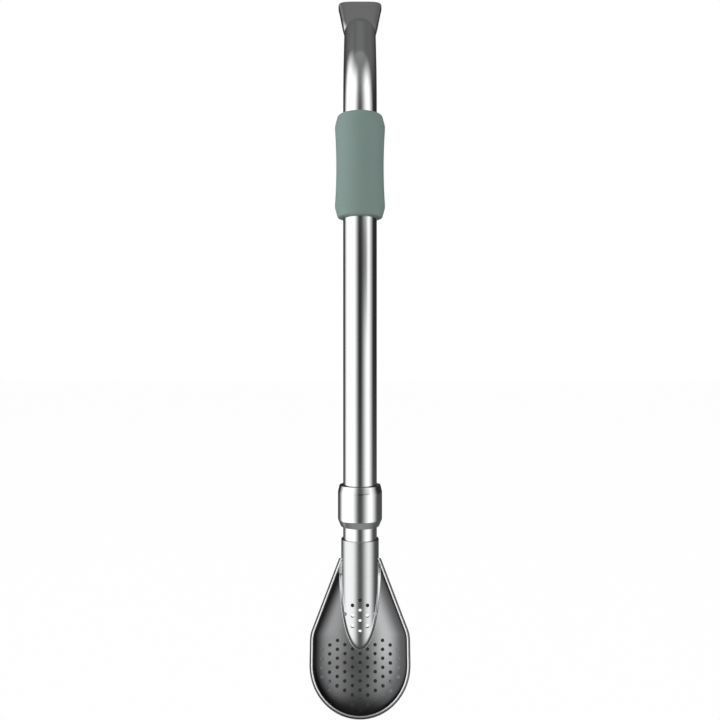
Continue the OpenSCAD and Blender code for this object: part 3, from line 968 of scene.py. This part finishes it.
clear_foot, clear_top, clear_core = -140.0, 0.0, 0.001
clearing = helper("clearing", lathe("clearing", [
    (clear_core, clear_foot), (tongue_in, clear_foot), (tongue_in, ferrule_low[2]),
    (hold, ferrule_low[2]), (hold, clear_top), (clear_core, clear_top)]))
nothing = helper("nothing", bpy.data.meshes.new("nothing"))
dish_cut, tongue_cut, shell_cut = (-1.0, 9.0), (0.1, 20.0), (-20.0, -0.6)
dish_mesh = perforated("dish_face", dish_sheet, dish_spots, dish_hole, *dish_cut, clearing)
tongue_mesh = perforated("tongue_face", tongue_sheet, tongue_spots, tongue_hole, *tongue_cut, nothing)
shell_mesh = perforated("shell", shell_sheet, through_spots, tongue_hole, *shell_cut, nothing)
dish = put("dish_face", dish_mesh, "dish", pressed_steel)
tongue = put("tongue_face", tongue_mesh, "tongue", soft_steel)
shell = put("shell", shell_mesh, "back_shell", satin_steel)
for sheet_piece in (dish, tongue, shell):
    sheet_piece.visible_glossy = False
bpy.data.objects.remove(clearing)
bpy.data.objects.remove(nothing)
print("holes:", len(dish_spots), "in the dish,", len(tongue_spots), "in the tongue")

# %% [markdown]
# ## The studio
#
# Bright metal shows the room it stands in, so the room is built for it: a wide soft box on the left, a
# narrow one on the right, dark between them where the camera stands, and grey above and below. These are
# painted on a large tent that only reflections see, by angles in degrees: to the side from the camera, and
# up from level. Soft lamps light the silicone, and a pale floor lies below, because the straw is held up.
# The studio's own sizes are in metres.

# %% The studio
scene = bpy.context.scene
scene.view_settings.view_transform = "Standard"
world = bpy.data.worlds.new("room")
scene.world = world
world.use_nodes = True
world.node_tree.nodes.clear()
sky = Wire(world.node_tree)
seen = sky.node("ShaderNodeLightPath", {}, {}, out="Is Camera Ray")
white = sky.node("ShaderNodeBackground", {}, {"Color": (1, 1, 1, 1), "Strength": 1.0})
soft = sky.node("ShaderNodeBackground", {}, {"Color": (1, 1, 1, 1), "Strength": 0.14})
finish_with(sky, sky.node("ShaderNodeMixShader", {}, {0: seen, 1: soft, 2: white}), "ShaderNodeOutputWorld")

floor_paint, wire = material("pale_floor")
seen = wire.node("ShaderNodeLightPath", {}, {}, out="Is Camera Ray")
pale = wire.node("ShaderNodeBsdfDiffuse", {}, {"Color": (0.9, 0.9, 0.9, 1)})
glow = wire.node("ShaderNodeEmission", {}, {"Color": (1, 1, 1, 1), "Strength": 1.0})
finish_with(wire, wire.node("ShaderNodeMixShader", {}, {0: seen * 0.985, 1: pale, 2: glow}))
floor_mesh = bpy.data.meshes.new("floor")
floor_z, floor_half = -0.17, 6.0
corners = [(x * floor_half, y * floor_half, floor_z) for x, y in ((-1, -1), (1, -1), (1, 1), (-1, 1))]
floor_mesh.from_pydata(corners, [], [(0, 1, 2, 3)])
floor_mesh.materials.append(floor_paint)
floor = helper("floor", floor_mesh)
floor.visible_glossy = False

tent_paint, wire = material("tent")
spot = wire.node("ShaderNodeTexCoord", {}, {}, out="Object")
spot = wire.node("ShaderNodeVectorMath", {"operation": "NORMALIZE"}, {0: spot})
split = wire.node("ShaderNodeSeparateXYZ", {}, {"Vector": spot})
x, y, z = (Wire(wire.tree, split.socket.node.outputs[k]) for k in range(3))
side = x.math("ARCTAN2", x, -1 * y) * degrees(1)
rise = z.math("ARCSINE", z) * degrees(1)
facing = 1 - side.math("ABSOLUTE", side).step(84, 106)
level = 0.03 + 0.08 * (1 - rise.step(-18, 2)) + 0.1 * facing * rise.step(8, 20)
level = level + 0.12 * rise.step(20, 50) + 0.05 * rise.step(64, 84)


def soft_box(sides, rises):
    """Patch of light with soft edges, each pair of edges given in degrees as start, full, full and end."""
    (a, b, c, d), (e, f, g, h) = sides, rises
    return side.step(a, b) * (1 - side.step(c, d)) * rise.step(e, f) * (1 - rise.step(g, h))


left = soft_box((-135, -92, -46, -4), (-44, -30, 38, 72))
right = soft_box((4, 56, 52, 104), (-44, -30, 36, 70))
right = right * (1 - 0.75 * rise.window(4, 13, 4) * (1 - side.step(40, 62)))
below_light, left_light, right_light = 0.2, 1.5, 1.45
below = below_light * (1 - rise.step(-56, -38))
paint = level + below + left_light * left + right_light * right
finish_with(wire, wire.node("ShaderNodeEmission", {}, {"Color": paint, "Strength": 1.0}))
tent_r, sides, bands = 2.0, 64, 32
around = np.linspace(0, 2 * pi, sides, endpoint=False)
up = np.linspace(-pi / 2 + 0.02, pi / 2 - 0.02, bands + 1)
tent_points = [(tent_r * cos(b) * cos(a), tent_r * cos(b) * sin(a), tent_r * sin(b))
               for b in up for a in around]
tent_faces = []
for i in range(bands):
    low, high = i * sides, (i + 1) * sides
    for j in range(sides):
        k = (j + 1) % sides
        tent_faces.append((low + j, low + k, high + k, high + j))
tent_faces += [tuple(range(sides)), tuple(range(bands * sides, (bands + 1) * sides))]
tent_mesh = bpy.data.meshes.new("tent")
tent_mesh.from_pydata(tent_points, [], tent_faces)
tent_mesh.materials.append(tent_paint)
tent = helper("tent", tent_mesh)
for ray in ("camera", "diffuse", "transmission", "volume_scatter", "shadow"):
    setattr(tent, "visible_" + ray, False)


def lamp(name, place, wide, tall, power):
    """Soft lamp that is aimed at the middle of the straw."""
    light = bpy.data.lights.new(name, "AREA")
    light.shape = "RECTANGLE"
    light.size = wide
    light.size_y = tall
    light.energy = power
    made = bpy.data.objects.new(name, light)
    scene.collection.objects.link(made)
    made.location = place
    made.rotation_euler = (Vector((0, 0, 0)) - Vector(place)).to_track_quat("-Z", "Y").to_euler()
    made.visible_camera = made.visible_glossy = False
    return made


key = lamp("key", (-0.95, -0.4, 0.1), wide=0.5, tall=0.9, power=10.5)
fill = lamp("fill", (0.85, -0.55, 0.1), wide=0.3, tall=0.9, power=6.0)
top = lamp("top", (0, 0.1, 1.2), wide=0.8, tall=0.8, power=6.0)

camera_data = bpy.data.cameras.new("camera")
camera_data.lens = 37.8
camera_data.sensor_width = 36.0
camera_data.clip_start = 0.01
camera = bpy.data.objects.new("camera", camera_data)
scene.collection.objects.link(camera)
camera.location = (0, -0.2022, -0.0023)
camera.rotation_euler = (pi / 2, 0, 0)
scene.camera = camera
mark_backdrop(floor, tent, key, fill, top)
print("studio ready")

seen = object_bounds()
print("visual", [round(1000 * (b - a), 2) for a, b in zip(*seen)])
